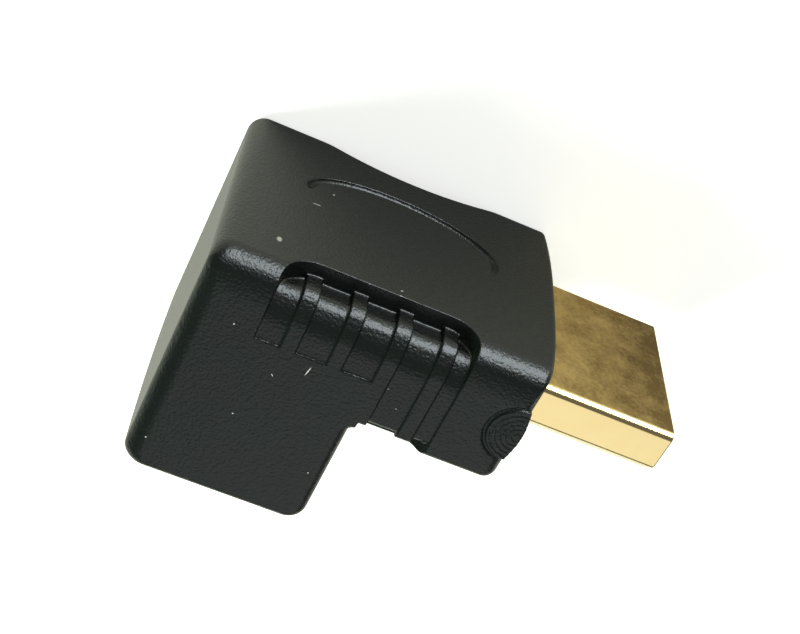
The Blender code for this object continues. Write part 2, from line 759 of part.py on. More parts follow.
def make_plug_contacts():
    material = finish("gold plated phosphor bronze", "e0bb6c", 0.25, 1.0)
    tail = PLUG_REAR - TAIL_LENGTH
    front = PLUG_TIP - PLUG_TIP_RECESS
    slot_end = front - SLOT_DEPTH
    for index, (row, across) in enumerate(contact_places()):
        level = PLUG_MID_DOWN + row * CONTACT_CENTRE
        bump = level - row * CONTACT_BUMP
        lip = level + row * CONTACT_LIP
        line = [(tail, level), (slot_end + PAST, level), (front - CONTACT_BUMP_START, bump),
                (front - CONTACT_BUMP_END, bump), (front - CONTACT_LIP_START, lip),
                (front - CONTACT_TIP_RECESS, lip)]
        strip(f"plug_contact_{index + 1:02d}", line, across, CONTACT_WIDTH,
              CONTACT_THICKNESS, place, material)


def make_socket_contacts():
    material = finish("gold plated brass", "dcb668", 0.25, 1.0)
    tongue_end = SOCKET_MOUTH - TONGUE_RECESS
    for index, (row, across) in enumerate(contact_places()):
        level = SOCKET_MID_X + row * TONGUE_CONTACT_CENTRE
        line = [(BOARD_BACK - PIN_ABOVE_BOARD, level), (tongue_end - TONGUE_CONTACT_START, level),
                (tongue_end - TONGUE_CONTACT_RECESS, level - row * CONTACT_LIP)]
        strip(f"socket_contact_{index + 1:02d}", line, across, CONTACT_WIDTH,
              CONTACT_THICKNESS, lambda down, x, edge: place(x, down, edge), material)


def make_board():
    half = BOARD_WIDTH / 2
    corners = [(BOARD_REAR, MID_ACROSS - half, BOARD_CORNER_RADIUS),
               (BOARD_FRONT, MID_ACROSS - half, 0.0),
               (BOARD_FRONT, MID_ACROSS + half, 0.0),
               (BOARD_REAR, MID_ACROSS + half, BOARD_CORNER_RADIUS)]
    board = prism("circuit_board", rounded(corners), "down", BOARD_BACK, BOARD_FACE,
                  finish("green solder mask", "1f5a3a", 0.4, 0.0))
    sides = 8
    holes = []
    for row, across in contact_places():
        centre_x = SOCKET_MID_X + row * TONGUE_CONTACT_CENTRE
        outline = [(centre_x + PIN_HOLE_RADIUS * math.cos(2 * math.pi * (i + 0.5) / sides),
                    across + PIN_HOLE_RADIUS * math.sin(2 * math.pi * (i + 0.5) / sides))
                   for i in range(sides)]
        holes.append(prism("hole", outline, "down", BOARD_BACK - PAST, BOARD_FACE + PAST))
    joined = bmesh.new()
    for hole in holes:
        joined.from_mesh(hole.data)
        bpy.data.objects.remove(hole, do_unlink=True)
    mesh = bpy.data.meshes.new("pin holes")
    joined.to_mesh(mesh)
    joined.free()
    cutter = bpy.data.objects.new("pin holes", mesh)
    bpy.context.collection.objects.link(cutter)
    cut(board, cutter)


clear_scene()
make_overmould()
make_inner_mould()
make_plug_shell()
make_plug_insulator()
make_plug_contacts()
make_board()
make_socket_shell()
make_socket_insulator()
make_socket_contacts()
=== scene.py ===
# Right angle digital video adapter on a white studio table.
# Lengths are in millimetres, times MM where they go into the scene, in the frame of the packed
# part: X along the plug, +Y the back face, Z the width. The work runs in the order in which the
# adapter is put together.

import math

import bmesh
import bpy
from mathutils import Matrix, Vector


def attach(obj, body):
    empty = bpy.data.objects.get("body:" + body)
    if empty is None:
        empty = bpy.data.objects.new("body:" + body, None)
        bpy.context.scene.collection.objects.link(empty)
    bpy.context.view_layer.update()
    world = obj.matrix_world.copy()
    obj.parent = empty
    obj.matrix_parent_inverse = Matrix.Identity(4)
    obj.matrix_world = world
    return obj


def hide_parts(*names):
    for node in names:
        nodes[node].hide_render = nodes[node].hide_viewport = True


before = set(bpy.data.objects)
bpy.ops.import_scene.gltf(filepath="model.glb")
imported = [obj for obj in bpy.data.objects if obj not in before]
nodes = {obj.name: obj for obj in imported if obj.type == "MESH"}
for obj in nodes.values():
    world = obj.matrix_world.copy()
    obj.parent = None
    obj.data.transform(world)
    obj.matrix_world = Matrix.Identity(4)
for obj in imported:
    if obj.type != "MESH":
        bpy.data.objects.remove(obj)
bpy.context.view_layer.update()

MM = 0.001


# Studio table, lamps and camera: a white sheet of card under the adapter, soft lamps over it and
# a pale room round it.

def linear(hex_colour):
    """sRGB hex to the linear colour that a shader takes."""
    parts = [int(hex_colour[i:i + 2], 16) / 255 for i in (0, 2, 4)]
    return tuple(c / 12.92 if c <= 0.04045 else ((c + 0.055) / 1.055) ** 2.4
                 for c in parts) + (1.0,)


def add_node(tree, kind, settings=None, **links):
    """One shader node: settings are its properties and socket values, links feed its sockets."""
    node = tree.nodes.new(kind)
    for key, value in (settings or {}).items():
        if isinstance(key, int) or key in node.inputs:
            node.inputs[key].default_value = value
        else:
            setattr(node, key, value)
    for key, source in links.items():
        number = key[1:]
        socket = int(number) if key[0] == "i" and number.isdigit() else key.replace("_", " ")
        tree.links.new(source, node.inputs[socket])
    return node


def new_material(name):
    """An empty material, its node tree and its shader."""
    material = bpy.data.materials.new(name)
    material.use_nodes = True
    tree = material.node_tree
    return material, tree, tree.nodes["Principled BSDF"]


TABLE_SIZE = 3.0
TABLE_GAP = 0.02
bpy.ops.object.select_all(action="DESELECT")
bpy.ops.mesh.primitive_plane_add(size=TABLE_SIZE, location=(0.0, 0.0, -TABLE_GAP * MM))
floor = bpy.context.active_object
floor.name = "white_table"
bpy.ops.object.transform_apply(location=True, rotation=True, scale=True)

# Matt white card: diffuse, so that it takes the adapter's shadow, and lifted to white where it is
# seen straight on, with a faint share of that in reflections
white_card, tree, shader = new_material("matt white card")
shader.inputs["Base Color"].default_value = linear("edf3e3")
shader.inputs["Roughness"].default_value = 0.9
shader.inputs["Specular IOR Level"].default_value = 0.0
path = add_node(tree, "ShaderNodeLightPath")
straight = add_node(tree, "ShaderNodeMath", {"operation": "MAXIMUM"},
                    i0=path.outputs["Is Camera Ray"], i1=path.outputs["Is Transmission Ray"])
lift = add_node(tree, "ShaderNodeMath", {"operation": "MULTIPLY", 1: 0.70},
                i0=straight.outputs[0])
faint = add_node(tree, "ShaderNodeMath", {"operation": "MULTIPLY_ADD", 1: 0.05},
                 i0=path.outputs["Is Glossy Ray"], i2=lift.outputs[0])
glow = add_node(tree, "ShaderNodeEmission", {"Color": (1, 1, 1, 1)}, Strength=faint.outputs[0])
both = add_node(tree, "ShaderNodeAddShader", {}, i0=shader.outputs[0], i1=glow.outputs[0])
tree.links.new(both.outputs[0], tree.nodes["Material Output"].inputs["Surface"])
floor.data.materials.append(white_card)

# Pale room: white where it is seen, a third as bright as a source of light, and dim in the dark
# plastic's reflections but for one large bright panel in front and above
ROOM_LIGHT = 0.34
PANEL_DIRECTION = (0.25, -0.66, 0.71)
world = bpy.data.worlds.new("pale room")
bpy.context.scene.world = world
world.use_nodes = True
tree = world.node_tree
direction = add_node(tree, "ShaderNodeTexCoord")
towards_panel = add_node(tree, "ShaderNodeVectorMath",
                         {"operation": "DOT_PRODUCT", 1: PANEL_DIRECTION},
                         i0=direction.outputs["Generated"])
panel = add_node(tree, "ShaderNodeMapRange",
                 {"interpolation_type": "SMOOTHSTEP", "From Min": 0.90, "From Max": 0.978,
                  "To Min": 0.13, "To Max": 1.0},
                 Value=towards_panel.outputs["Value"])
path = add_node(tree, "ShaderNodeLightPath")
mirrored = add_node(tree, "ShaderNodeMath", {"operation": "MULTIPLY"},
                    i0=panel.outputs[0], i1=path.outputs["Is Glossy Ray"])
clear = add_node(tree, "ShaderNodeMath", {"operation": "MAXIMUM"},
                 i0=path.outputs["Is Camera Ray"], i1=path.outputs["Is Transmission Ray"])
lit = add_node(tree, "ShaderNodeMath", {"operation": "MULTIPLY", 1: ROOM_LIGHT},
               i0=path.outputs["Is Diffuse Ray"])
some = add_node(tree, "ShaderNodeMath", {"operation": "MAXIMUM"},
                i0=mirrored.outputs[0], i1=clear.outputs[0])
level = add_node(tree, "ShaderNodeMath", {"operation": "MAXIMUM"},
                 i0=some.outputs[0], i1=lit.outputs[0])
tree.links.new(level.outputs[0], tree.nodes["Background"].inputs["Strength"])
tree.nodes["Background"].inputs["Color"].default_value = (1, 1, 1, 1)


def soft_lamp(name, place, width, height, watts, colour):
    """An area lamp that looks at the adapter, its place and size in metres."""
    lamp = bpy.data.lights.new(name, "AREA")
    lamp.energy = watts
    lamp.color = colour
    lamp.shape = "RECTANGLE"
    lamp.size = width
    lamp.size_y = height
    holder = bpy.data.objects.new(name, lamp)
    bpy.context.scene.collection.objects.link(holder)
    holder.location = place
    holder.rotation_euler = (-Vector(place)).to_track_quat("-Z", "Y").to_euler()
    return holder


# The window is there for the glints that it puts on rounded edges, and the lamp in front for the
# table, so that the light on the whole stays plain
window = soft_lamp("window behind", (0.10, 0.40, 0.155), 0.30, 0.32, 3.4, (0.92, 1.0, 1.03))
window.visible_diffuse = False
lamp = soft_lamp("lamp in front", (-0.25, -0.25, 0.34), 0.22, 0.22, 2.9, (1.0, 1.0, 0.95))
lamp.visible_glossy = False

# The camera's place and turn were solved from the photograph
CAMERA_PLACE = (-20.523, 54.220, 92.268)
CAMERA_RIGHT = (0.91398, 0.40326, -0.04494)
CAMERA_UP = (-0.36045, 0.75606, -0.54630)
CAMERA_BACK = (-0.18632, 0.51551, 0.83638)
camera_data = bpy.data.cameras.new("camera")
camera = bpy.data.objects.new("camera", camera_data)
bpy.context.scene.collection.objects.link(camera)
camera_axes = Matrix((Vector(CAMERA_RIGHT), Vector(CAMERA_UP), Vector(CAMERA_BACK)))
camera.matrix_world = (Matrix.Translation(Vector(CAMERA_PLACE) * MM)
                       @ camera_axes.transposed().to_4x4())
camera_data.sensor_fit = "HORIZONTAL"
camera_data.sensor_width = 36.0
camera_data.lens = 63.0
camera_data.clip_start = 0.001
bpy.context.scene.camera = camera
bpy.context.scene.view_settings.view_transform = "Standard"


# Moulded body: flexible black PVC moulded in one shot over the board and both connectors. Its
# side carries a ribbed finger grip with a gate mark in front of it, its far edge a shallow waist
# and its back an oval groove.

BODY_WIDTH = 19.7
PLUG_LEG_LENGTH = 23.2
MOUTH_LEG_LENGTH = 18.46
MOUTH_LEG_THICKNESS = 12.85
COLLAR_THICKNESS = 9.35
COLLAR_LENGTH = 5.15
HEEL_FLARE = 0.3
HEEL_BULGE = 0.15
FRONT_BULGE = 0.6
FRONT_SKEW = 0.18
PLUG_REACH = 9.9
PLUG_TIP = PLUG_LEG_LENGTH + FRONT_BULGE + PLUG_REACH
X_ORIGIN = (PLUG_TIP - HEEL_FLARE - HEEL_BULGE) / 2
Y_ORIGIN = MOUTH_LEG_LENGTH / 2
MIDDLE = BODY_WIDTH / 2
PAST = 1.0
FAR = 40.0


def spot(x, down, across):
    """A place from its distances from the heel, the back face and the resting side."""
    return Vector(((x - X_ORIGIN) * MM, (Y_ORIGIN - down) * MM, across * MM))


def round_corners(corners, steps):
    """An outline from (a, b, radius) corners, each turned into an arc."""
    outline = []
    for index, (a, b, radius) in enumerate(corners):
        here = Vector((a, b))
        if radius <= 0:
            outline.append((a, b))
            continue
        before = (Vector(corners[index - 1][:2]) - here).normalized()
        after = (Vector(corners[(index + 1) % len(corners)][:2]) - here).normalized()
        half = before.angle(after) / 2
        centre = here + (before + after).normalized() * (radius / math.sin(half))
        first = here + before * (radius / math.tan(half)) - centre
        last = here + after * (radius / math.tan(half)) - centre
        turn = -first.angle_signed(last)
        for step in range(steps + 1):
            angle = turn * step / steps
            outline.append((centre.x + first.x * math.cos(angle) - first.y * math.sin(angle),
                            centre.y + first.x * math.sin(angle) + first.y * math.cos(angle)))
    return outline


def skin(name, rings, joined=False):
    """A closed body stretched over rings of points, capped or joined round to its first ring."""
    mesh = bpy.data.meshes.new(name)
    body = bmesh.new()
    levels = [[body.verts.new(point) for point in ring] for ring in rings]
    for lower, upper in zip(levels, levels[1:] + (levels[:1] if joined else [])):
        for index in range(len(lower)):
            after = (index + 1) % len(lower)
            body.faces.new((lower[index], lower[after], upper[after], upper[index]))
    if not joined:
        body.faces.new(levels[0][::-1])
        body.faces.new(levels[-1])
    bmesh.ops.recalc_face_normals(body, faces=body.faces)
    body.to_mesh(mesh)
    body.free()
    piece = bpy.data.objects.new(name, mesh)
    bpy.context.scene.collection.objects.link(piece)
    return piece


def slab(name, outline, along, low, high):
    """An outline pushed along X, down from the back or across the width."""
    order = {"x": lambda a, b, t: spot(t, a, b), "down": lambda a, b, t: spot(a, t, b),
             "across": lambda a, b, t: spot(a, b, t)}[along]
    return skin(name, [[order(a, b, level) for a, b in outline] for level in (low, high)])


def pick(piece):
    """Makes a piece the only one that the next operators work on."""
    bpy.ops.object.select_all(action="DESELECT")
    bpy.context.view_layer.objects.active = piece
    piece.select_set(True)


def carve(piece, cutter, how="DIFFERENCE"):
    """Cuts, joins or trims a piece with another, which is used up."""
    step = piece.modifiers.new("carve", "BOOLEAN")
    step.operation = how
    step.solver = "EXACT"
    step.object = cutter
    pick(piece)
    bpy.ops.object.modifier_apply(modifier=step.name)
    bpy.data.objects.remove(cutter, do_unlink=True)


def drawn_in(fillet, from_side):
    """How far a rounded edge is drawn in at a distance from the side."""
    short = max(fillet - from_side, 0.0)
    return fillet - math.sqrt(fillet ** 2 - short ** 2)


def edge_point(turn, ease, change, angle):
    """A point, as (along, in), on an edge with a small radius and past an angle a large one."""
    if angle < change:
        return (turn * (1 - math.cos(angle)),
                turn * (1 - math.sin(angle)) + (ease - turn) * (1 - math.sin(change)))
    return (turn * (1 - math.cos(change)) + ease * (math.cos(change) - math.cos(angle)),
            ease * (1 - math.sin(angle)))


def eased_edge(turn, ease, change):
    """The whole of such an edge, finer where it turns on the small radius."""
    small = [change * step / 24 for step in range(24)]
    large = [change + (math.pi / 2 - change) * step / 6 for step in range(7)]
    return [edge_point(turn, ease, change, angle) for angle in small + large]


SIDE_FILLET = 0.75
HEEL_RADIUS = 1.3
FRONT_RADIUS = 0.4
COLLAR_CORNER_RADIUS = 0.85
ELBOW_RADIUS = 0.3
MOUTH_CORNER_RADIUS = 1.4
SMALLEST_RADIUS = 0.08
# Each eased edge: its small radius, its large one and the angle between them
BACK_EDGE = (1.7, 8.0, math.radians(78.0))
HEEL_EDGE = (0.4, 1.5, math.radians(35.0))
RIB_EDGE = (1.15, 3.8, math.radians(57.0))
EDGE_ROOM = 1.9
FILLET_STEPS = 14
STRAIGHT_STEPS = 16
HEEL_STEPS = 20


def body_ring(across, back_in, heel_in, rest_in):
    """The body's side view at one place across its width."""
    share = (across - MIDDLE) / MIDDLE
    front = PLUG_LEG_LENGTH + FRONT_BULGE * (1 - abs(share) ** 3) - FRONT_SKEW * share - rest_in
    flare = HEEL_FLARE + HEEL_BULGE * (1 - share * share)
    under = COLLAR_THICKNESS - rest_in
    mouth = MOUTH_LEG_LENGTH - rest_in
    heel_radius = max(HEEL_RADIUS - (back_in + heel_in) / 2, SMALLEST_RADIUS)
    corners = [(heel_in, back_in, heel_radius),
               (front, back_in, max(FRONT_RADIUS - rest_in, SMALLEST_RADIUS)),
               (front, under, max(COLLAR_CORNER_RADIUS - rest_in, SMALLEST_RADIUS)),
               (MOUTH_LEG_THICKNESS - rest_in, under, ELBOW_RADIUS + rest_in),
               (MOUTH_LEG_THICKNESS - rest_in, mouth, MOUTH_CORNER_RADIUS - rest_in),
               (heel_in - flare, mouth, MOUTH_CORNER_RADIUS - rest_in)]
    return [spot(x, down, across) for x, down in round_corners(corners, 10)]


heel_turn = [(0.0, FAR)] + [edge_point(*HEEL_EDGE, math.pi / 2 * step / HEEL_STEPS)
                            for step in range(HEEL_STEPS + 1)]


def heel_drawn_in(from_side):
    """How far the heel is drawn in at a distance from the near side."""
    for outer, inner in zip(heel_turn, heel_turn[1:]):
        if inner[1] < from_side - 1e-9:
            share = (outer[1] - from_side) / (outer[1] - inner[1])
            return outer[0] + (inner[0] - outer[0]) * share
    return heel_turn[-1][0]


rings = []
for step in range(FILLET_STEPS + 1):
    angle = math.pi / 2 * (FILLET_STEPS - step) / FILLET_STEPS
    from_side = SIDE_FILLET * (1 - math.sin(angle))
    inset = drawn_in(SIDE_FILLET, from_side)
    rings.append(body_ring(from_side, inset, inset, inset))
for step in range(1, STRAIGHT_STEPS):
    rise = (BODY_WIDTH - SIDE_FILLET - EDGE_ROOM) * step / STRAIGHT_STEPS
    rings.append(body_ring(SIDE_FILLET + rise, 0.0, 0.0, 0.0))
for back_in, from_side in eased_edge(*BACK_EDGE):
    rings.append(body_ring(BODY_WIDTH - from_side, back_in, heel_drawn_in(from_side),
                           drawn_in(SIDE_FILLET, from_side)))
moulded_body = skin("moulded_body", rings)

# The grip: ribs that run over the near upper edge and down the side, with bays sunk between them,
# and on the resting side the same ribs in a long shallow waist
GRIP_START = 4.55
GRIP_END = PLUG_LEG_LENGTH - COLLAR_LENGTH
GRIP_DEPTH = 2.84
GRIP_CORNER_START = 2.5
GRIP_CORNER_END = 2.1
WAIST_CENTRE = 12.5
WAIST_DEPTH = 1.5
WAIST_RADIUS = 22.0
WAIST_STEPS = 24
RIB_COUNT = 4
RIB_WIDTH = 1.05
FIRST_BAY = 1.75
LAST_BAY = 1.2
RIB_TOP_DROP = 0.95
RIB_CUT_END = 4.0
BAY_TOP_DROP = 1.33
BAY_DEPTH = 0.09
BAY_END = 5.1
# Cutters stop this much short of each other's faces, or pass the body's, so that none coincide
CLEARANCE = 0.02


def grip_outline(side, inset):
    """The grip from the back: a pocket with round corners above, a long arc on the far edge."""
    if side > 0:
        near, far = GRIP_START + inset, GRIP_END - inset
        wall = BODY_WIDTH - GRIP_DEPTH + inset
        mouth = BODY_WIDTH + PAST
        return round_corners([(near, mouth, 0), (near, wall, GRIP_CORNER_START - inset),
                              (far, wall, GRIP_CORNER_END - inset), (far, mouth, 0)], 16)
    depth = WAIST_DEPTH - inset
    reach = math.acos(1 - (depth + PAST) / WAIST_RADIUS)
    angles = [reach * step / WAIST_STEPS for step in range(-WAIST_STEPS, WAIST_STEPS + 1)]
    return [(WAIST_CENTRE + WAIST_RADIUS * math.sin(angle),
             depth - WAIST_RADIUS * (1 - math.cos(angle))) for angle in angles]


def grip_cut(side, inset, span, top, face, end):
    """A cut in the grip: down its wall, out over the rounded shoulder and down the face."""
    depth = (GRIP_DEPTH if side > 0 else WAIST_DEPTH) - inset
    section = [(-PAST, depth)]
    for down, inward in eased_edge(*RIB_EDGE):
        if inward + face < depth:
            if len(section) == 1:
                section.append((top + down, depth))
            section.append((top + down, inward + face))
    section += [(end, face), (end, -PAST), (-PAST, -PAST)]
    if side > 0:
        section = [(down, BODY_WIDTH - inward) for down, inward in section]
    cutter = slab("grip cut", section, "x", *span)
    outline = slab("grip outline", grip_outline(side, inset), "down", -3 * PAST, FAR + PAST)
    carve(cutter, outline, "INTERSECT")
    return cutter


first_rib = GRIP_START + FIRST_BAY
pitch = (GRIP_END - LAST_BAY - RIB_WIDTH - first_rib) / (RIB_COUNT - 1)
ribs = [(first_rib + pitch * i, first_rib + RIB_WIDTH + pitch * i) for i in range(RIB_COUNT)]
bays = list(zip([GRIP_START - PAST] + [rib[1] for rib in ribs],
                [rib[0] for rib in ribs] + [GRIP_END + PAST]))
for side in (1, -1):
    whole_grip = (GRIP_START - 4 * PAST, GRIP_END + 4 * PAST)
    carve(moulded_body, grip_cut(side, 0.0, whole_grip, RIB_TOP_DROP, -CLEARANCE, RIB_CUT_END))
    for bay in bays:
        end = BAY_END if bay[0] < MOUTH_LEG_THICKNESS else FAR
        carve(moulded_body, grip_cut(side, CLEARANCE, bay, BAY_TOP_DROP, BAY_DEPTH, end))

# The reliefs: on the collar the ribs and bays turn in under it and end at a wall
RELIEF_DEPTH = 1.45
RELIEF_FROM_LEG = 0.3
RELIEF_CORNER = 2.0
RIB_THICKNESS = 8.85
RIB_UNDER_RADIUS = 0.75
BAY_THICKNESS = 8.43
BAY_UNDER_RADIUS = 0.6


def relief_cut(side, inset, span, face, level, radius):
    """A cut under the ribs: round their lower edge and along the underside to a wall."""
    wall = RELIEF_DEPTH - inset
    section = [(FAR, -PAST), (level - radius, -PAST)]
    for step in range(11):
        angle = math.pi / 2 * step / 10
        section.append((level - radius + radius * math.sin(angle),
                        face + radius * (1 - math.cos(angle))))
    section += [(level, wall + PAST), (FAR, wall + PAST)]
    near, far = MOUTH_LEG_THICKNESS + RELIEF_FROM_LEG + inset, GRIP_END - inset
    outline = round_corners([(near, -PAST, 0), (near, wall, 0), (far, wall, RELIEF_CORNER - inset),
                             (far, -PAST, 0)], 12)
    if side > 0:
        section = [(down, BODY_WIDTH - inward) for down, inward in section]
        outline = [(x, BODY_WIDTH - inward) for x, inward in outline]
    cutter = slab("relief cut", section, "x", *span)
    carve(cutter, slab("relief outline", outline, "down", -3 * PAST, FAR + 3 * PAST), "INTERSECT")
    return cutter


for side in (1, -1):
    carve(moulded_body, relief_cut(side, 0.0, (GRIP_START, GRIP_END + PAST), -CLEARANCE,
                                   RIB_THICKNESS, RIB_UNDER_RADIUS))
    for bay in bays:
        if bay[0] > MOUTH_LEG_THICKNESS:
            span = (bay[0] + CLEARANCE, bay[1] - CLEARANCE)
            carve(moulded_body, relief_cut(side, CLEARANCE, span, BAY_DEPTH, BAY_THICKNESS,
                                           BAY_UNDER_RADIUS))

# The oval groove on the back: round bottomed, and it fades out at both its ends
OVAL_CENTRE_X = 12.1
OVAL_CENTRE_ACROSS = 8.2
OVAL_HALF_LENGTH = 7.0
OVAL_HALF_WIDTH = 3.4
OVAL_TILT = math.radians(4.0)
GROOVE_HALF_WIDTH = 0.30
GROOVE_DEPTH = 0.33
GROOVE_FROM_DEGREES = -38.0
GROOVE_SWEEP_DEGREES = 224.0
GROOVE_FADE_FRONT = 0.25
GROOVE_FADE_HEEL = 0.06
GROOVE_LIFT = 0.012
GROOVE_STEPS = 80


def tilted(a, b):
    """A place or direction in the oval's own plane, turned by its tilt."""
    return (a * math.cos(OVAL_TILT) + b * math.sin(OVAL_TILT),
            a * math.sin(OVAL_TILT) - b * math.cos(OVAL_TILT))


rings = []
groove_radius = (GROOVE_HALF_WIDTH ** 2 + GROOVE_DEPTH ** 2) / (2 * GROOVE_DEPTH)
circle = [2 * math.pi * (t + 0.5) / 24 for t in range(24)]
for step in range(GROOVE_STEPS + 1):
    share = step / GROOVE_STEPS
    angle = math.radians(GROOVE_FROM_DEGREES + GROOVE_SWEEP_DEGREES * share)
    along = Vector((-OVAL_HALF_LENGTH * math.sin(angle), OVAL_HALF_WIDTH * math.cos(angle)))
    heading = Vector(tilted(along.x, along.y)).normalized()
    x, across = tilted(OVAL_HALF_LENGTH * math.cos(angle), OVAL_HALF_WIDTH * math.sin(angle))
    fade = min(1.0, share / GROOVE_FADE_FRONT, (1 - share) / GROOVE_FADE_HEEL)
    middle = GROOVE_DEPTH * fade - GROOVE_LIFT - groove_radius
    rings.append([spot(OVAL_CENTRE_X + x - heading.y * groove_radius * math.sin(turn),
                       middle + groove_radius * math.cos(turn),
                       OVAL_CENTRE_ACROSS + across + heading.x * groove_radius * math.sin(turn))
                  for turn in circle])
carve(moulded_body, skin("oval groove", rings))

# The gate mark: where the plastic came in, a low round pad inside a groove, with faint turned
# rings round its middle
GATE_CENTRE_X = 23.0
GATE_CENTRE_DOWN = 5.0
GATE_BULGE = 0.3
GATE_GROOVE_RADIUS = 2.35
GATE_GROOVE_DEPTH = 0.09
GATE_PAD_RADIUS = 2.1
GATE_PROUD = 0.06
GATE_SET_IN = 1.1
RING_COUNT = 5
RING_OUTER_RADIUS = 1.85
RING_PITCH = 0.36
RING_WIDTH = 0.15
RING_FLOOR = 0.02


def gate_disc(name, radius, low, high):
    """A disc round the gate's middle, with its front cut off before the leg's end."""
    points = [(GATE_CENTRE_X + radius * math.cos(math.pi / 2 + math.pi * t / 36),
               GATE_CENTRE_DOWN - radius * math.sin(math.pi / 2 + math.pi * t / 36))
              for t in range(37)]
    points += [(GATE_CENTRE_X + GATE_BULGE * math.sin(math.pi * t / 12),
                GATE_CENTRE_DOWN + radius * (1 - t / 6)) for t in range(1, 12)]
    return slab(name, points, "across", BODY_WIDTH + low, BODY_WIDTH + high)


carve(moulded_body, gate_disc("gate groove", GATE_GROOVE_RADIUS, -GATE_GROOVE_DEPTH, PAST))
carve(moulded_body, gate_disc("gate pad", GATE_PAD_RADIUS, -GATE_SET_IN, GATE_PROUD), "UNION")
for number in range(RING_COUNT):
    outer = RING_OUTER_RADIUS - RING_PITCH * number
    ring = gate_disc("turned ring", outer, RING_FLOOR, PAST)
    carve(ring, gate_disc("inside", outer - RING_WIDTH, -PAST, 2 * PAST))
    carve(moulded_body, ring)

# The space for the inner moulding and the two openings that the shells sit in
PLUG_WIDTH = 13.9
PLUG_HEIGHT = 4.45
PLUG_CORNER_DROP = 3.05
PLUG_BACK_DROP = 2.36
PLUG_EMBEDDED = 3.7
PLUG_REAR = PLUG_LEG_LENGTH + FRONT_BULGE - PLUG_EMBEDDED
SOCKET_WIDTH = 14.6
SOCKET_HEIGHT = 5.15
SOCKET_CORNER_DROP = 3.45
SOCKET_MID_X = (MOUTH_LEG_THICKNESS - HEEL_FLARE) / 2
SOCKET_FROM = 6.0
SOCKET_LEAD_IN = 0.25
LEAD_IN_GROW = 0.275
CORNER_INSET = 1.8
SHELL_CORNER_RADIUS = 0.55
SMALLEST_SHELL_RADIUS = 0.1
INNER_REAR = 2.05
INNER_BACK_DROP = 2.3
INNER_THICKNESS = 4.75
INNER_WIDTH = 15.2
FIT = 0.05


def shell_outline(width, height, drop, first, grow):
    """The connector's section: five flats, and a taper at each lower corner."""
    lean = math.atan2(CORNER_INSET, height - drop)
    half = width / 2 + grow
    narrow = width / 2 - CORNER_INSET + grow * math.tan(math.pi / 4 - lean / 2)
    corner = first + drop + grow * math.tan(lean / 2)
    back, face = first - grow, first + height + grow
    soft = max(SHELL_CORNER_RADIUS + grow, SMALLEST_SHELL_RADIUS)
    return round_corners([(back, MIDDLE - half, soft), (back, MIDDLE + half, soft),
                          (corner, MIDDLE + half, soft), (face, MIDDLE + narrow, soft),
                          (face, MIDDLE - narrow, soft), (corner, MIDDLE - half, soft)], 8)


def plug_outline(grow):
    """The plug's section, made larger all round."""
    return shell_outline(PLUG_WIDTH, PLUG_HEIGHT, PLUG_CORNER_DROP, PLUG_BACK_DROP, grow)


def socket_outline(grow):
    """The socket's section, made larger all round."""
    return shell_outline(SOCKET_WIDTH, SOCKET_HEIGHT, SOCKET_CORNER_DROP,
                         SOCKET_MID_X - SOCKET_HEIGHT / 2, grow)


rear, top = INNER_REAR - FIT, INNER_BACK_DROP - FIT
bottom = INNER_BACK_DROP + INNER_THICKNESS + FIT
carve(moulded_body, slab("mould space", [(rear, top), (PLUG_REAR, top), (PLUG_REAR, bottom),
                                         (rear, bottom)],
                         "across", MIDDLE - INNER_WIDTH / 2 - FIT, MIDDLE + INNER_WIDTH / 2 + FIT))
carve(moulded_body, slab("plug opening", plug_outline(FIT), "x", PLUG_REAR - PAST, FAR))
carve(moulded_body, slab("socket opening", socket_outline(FIT), "down", SOCKET_FROM, FAR))
carve(moulded_body, skin("lead-in", [[spot(x, MOUTH_LEG_LENGTH + past, across)
                                      for x, across in socket_outline(LEAD_IN_GROW + past)]
                                     for past in (-SOCKET_LEAD_IN, SOCKET_LEAD_IN)]))

# The plastic rounds every edge and corner by about 0.1 mm as it fills the steel: the body is
# rebuilt as one even skin, eased, and thinned where it is flat
SKIN_CELL = 0.08
BODY_TRIANGLES = 190000
pick(moulded_body)
moulded_body.data.transform(Matrix.Scale(1 / MM, 4))
moulded_body.data.remesh_voxel_size = SKIN_CELL
moulded_body.data.remesh_voxel_adaptivity = 0.0
bpy.ops.object.voxel_remesh()
ease = moulded_body.modifiers.new("eased edges", "SMOOTH")
ease.factor = 0.5
ease.iterations = 4
bpy.ops.object.modifier_apply(modifier=ease.name)
thin = moulded_body.modifiers.new("thinned flats", "DECIMATE")
thin.ratio = BODY_TRIANGLES / (2 * len(moulded_body.data.polygons))
bpy.ops.object.modifier_apply(modifier=thin.name)
moulded_body.data.transform(Matrix.Scale(MM, 4))
bpy.ops.object.shade_smooth()
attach(moulded_body, "root")
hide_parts("overmould")


def noise(tree, vector, size, detail, roughness=0.5):
    """Noise with cells of about so many millimetres."""
    settings = {"Scale": 1 / (size * MM), "Detail": detail, "Roughness": roughness}
    return add_node(tree, "ShaderNodeTexNoise", settings, Vector=vector)


def blend(tree, first, second, share):
    """A colour that goes from the first to the second with the share."""
    colours = {"data_type": "RGBA", 6: linear(first), 7: linear(second)}
    return add_node(tree, "ShaderNodeMix", colours, i0=share).outputs[2]


# Black PVC from a spark eroded cavity: satin, with a fine pebble grain that glitters where an
# edge turns to the light
black_pvc, tree, shader = new_material("black PVC, spark eroded grain")
coords = add_node(tree, "ShaderNodeTexCoord")
# The real pebbles are about 0.1 mm across; drawn at 0.2 mm so that they show
pebbles = noise(tree, coords.outputs["Object"], 0.2, 1.0)
grain = add_node(tree, "ShaderNodeBump", {"Strength": 1.0, "Distance": 0.04 * MM},
                 Height=pebbles.outputs["Fac"])
tree.links.new(grain.outputs[0], shader.inputs["Normal"])
